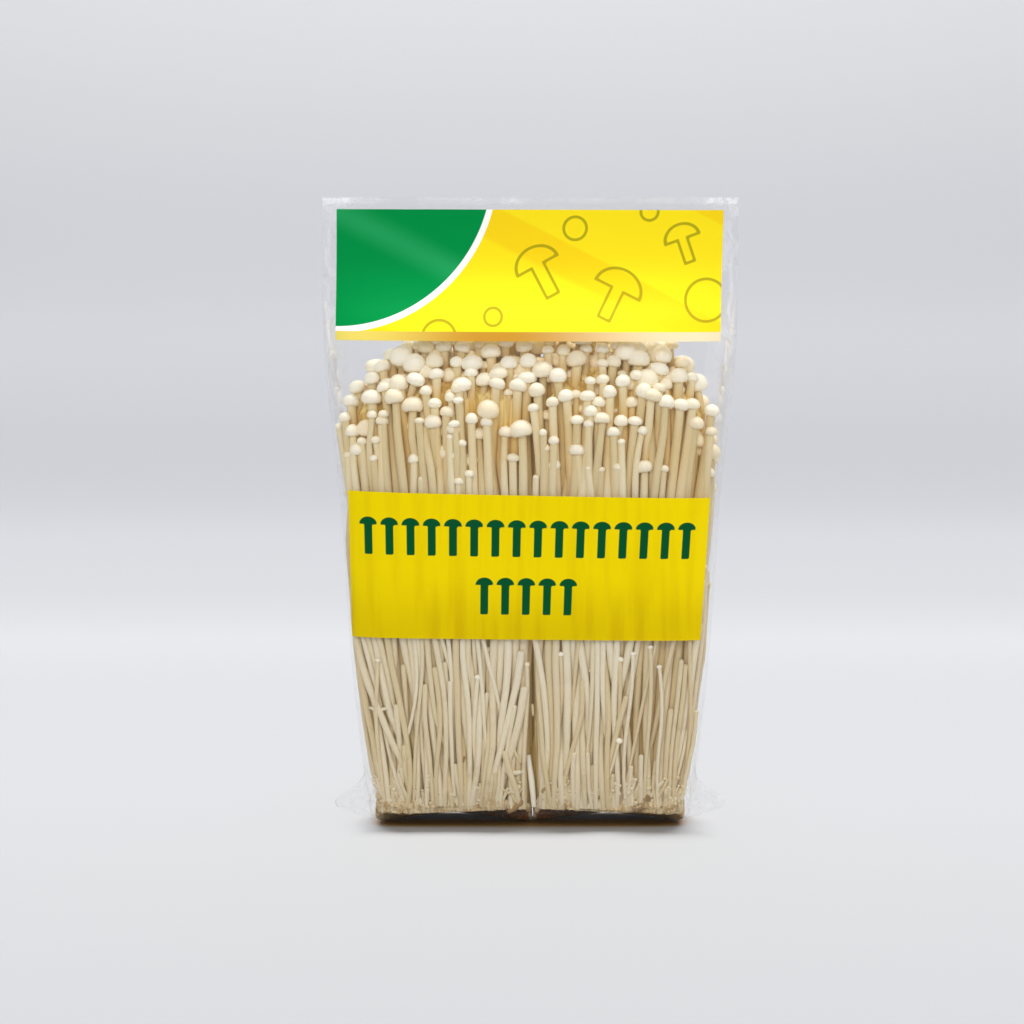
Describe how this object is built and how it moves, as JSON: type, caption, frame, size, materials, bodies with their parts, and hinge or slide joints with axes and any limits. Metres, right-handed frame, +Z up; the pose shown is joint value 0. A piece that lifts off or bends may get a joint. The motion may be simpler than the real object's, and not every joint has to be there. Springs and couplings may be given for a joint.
{
  "type": "enoki mushroom bunch",
  "caption": "Retail pack of enoki mushrooms: long pale stems with small round caps on two root mats, standing in a clear film bag with a header panel and a band label.",
  "frame": {"origin": "on the surface the pack stands on, under the middle of the bag", "axes": "+Z up towards the bag's mouth, -Y the front with the two printed panels, +X to the right seen from the front"},
  "size_m": [0.124, 0.0398, 0.187],
  "materials": {
    "mushroom": "moist, finely fibred, cream white",
    "film": "clear, glossy, lightly creased",
    "header": "printed, glossy",
    "band": "printed, satin"
  },
  "bodies": {
    "root": {"clump_left": "mushroom", "clump_right": "mushroom", "loose_stub": "mushroom", "film_bag": "film", "header_panel": "header", "band_label": "band"}
  },
  "joints": []
}
